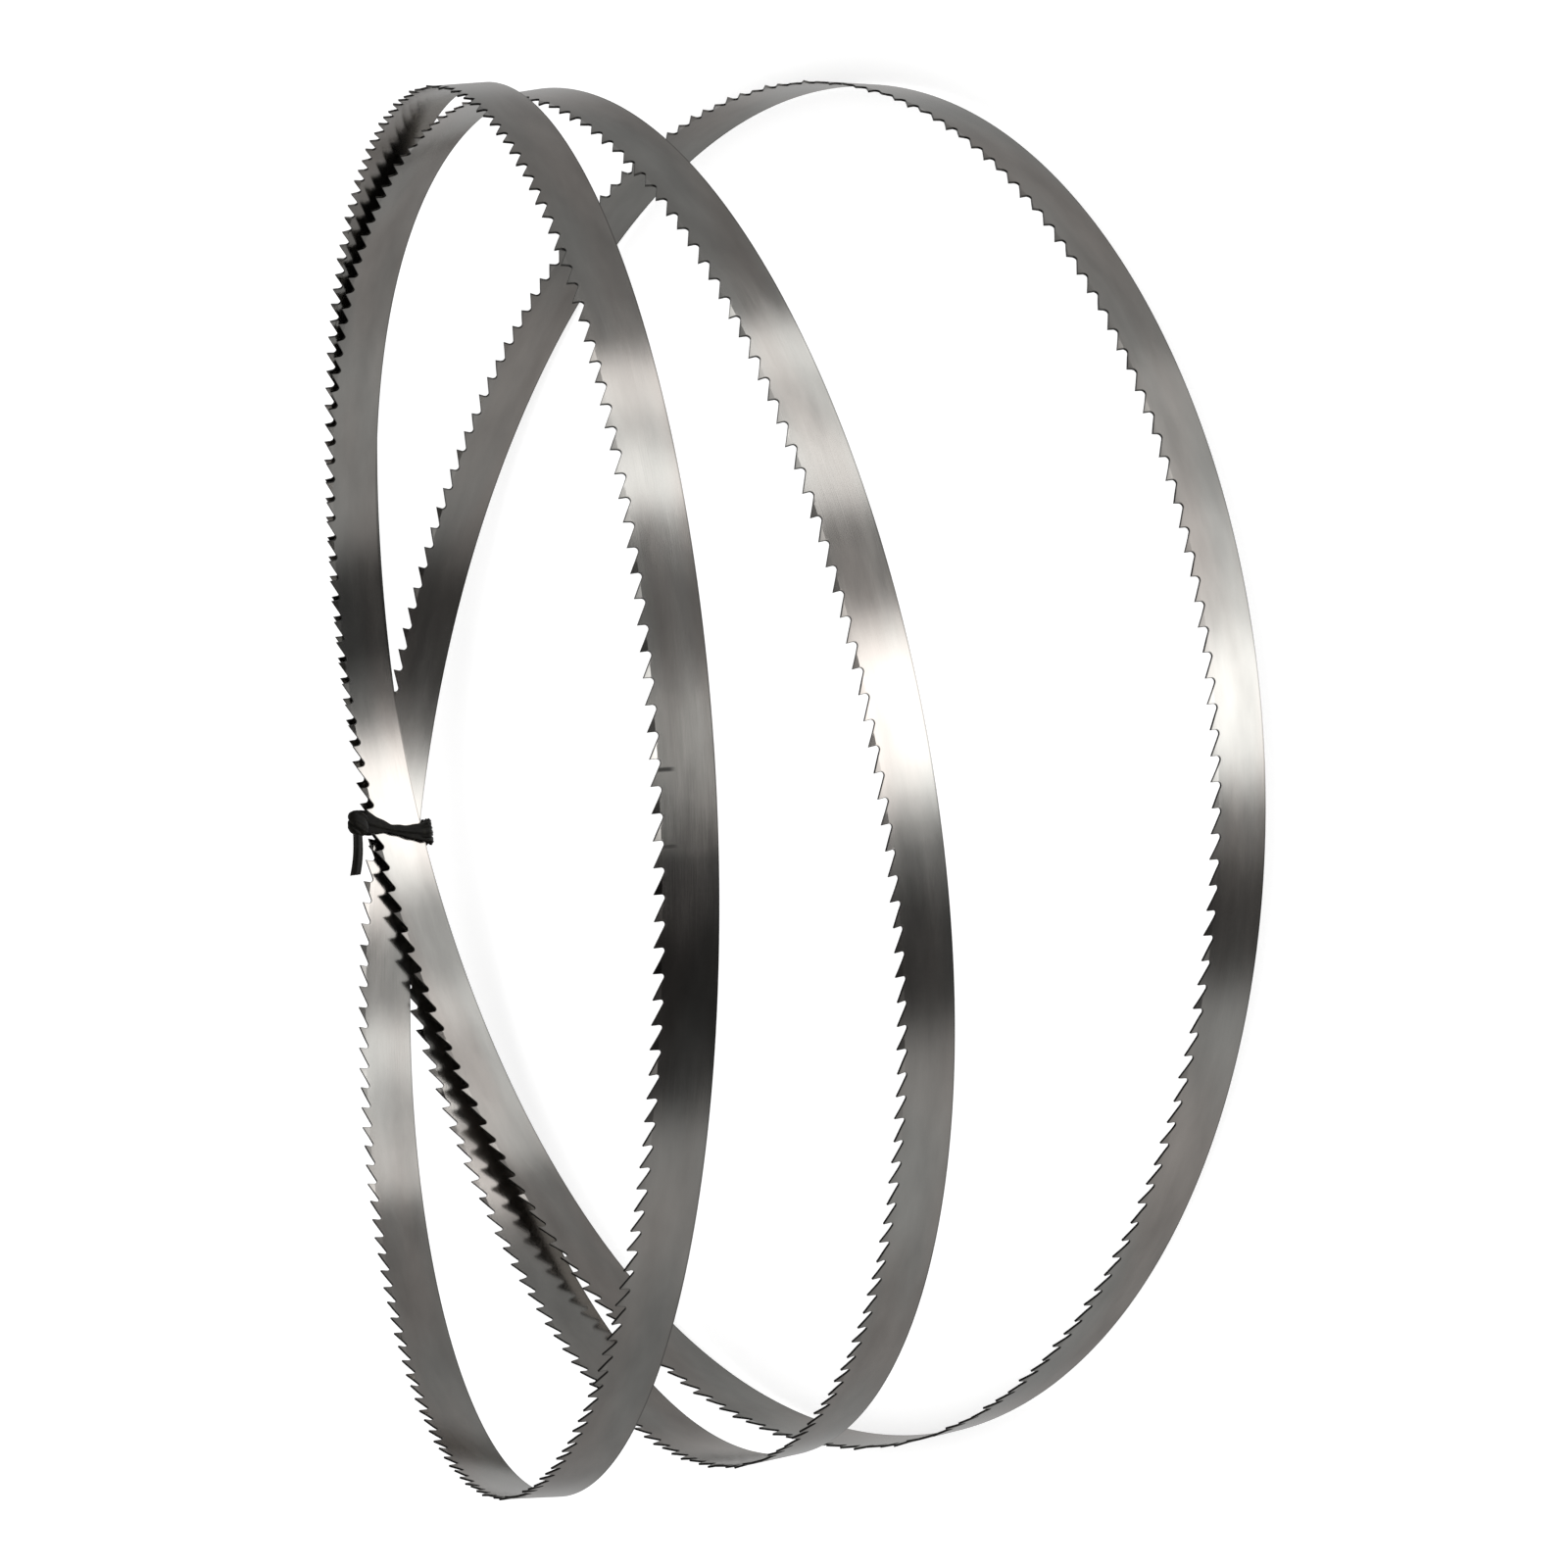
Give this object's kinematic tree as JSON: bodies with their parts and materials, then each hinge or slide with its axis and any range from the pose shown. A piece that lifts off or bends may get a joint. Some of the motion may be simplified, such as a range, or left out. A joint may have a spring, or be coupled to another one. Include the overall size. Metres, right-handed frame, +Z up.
{
  "type": "band saw blade",
  "caption": "Endless toothed steel band for a band saw, folded into fanned coils for storage and held by a twist tie.",
  "frame": {"origin": "middle of the bounding box, on the floor that the coiled band lies on", "axes": "+Z up, the tie at the back towards +Y, the coils fan out towards -Y, the coils' heads in the picture point to +X, the teeth are on the upper edges"},
  "size_m": [0.3726, 0.3872, 0.1699],
  "materials": {
    "blade_steel": "bright rolled spring steel with a fine lengthwise grain and blued patches at the weld",
    "tie_plastic": "black, slightly glossy"
  },
  "bodies": {
    "root": {"blade": "blade_steel", "twist_tie": "tie_plastic"}
  },
  "joints": []
}
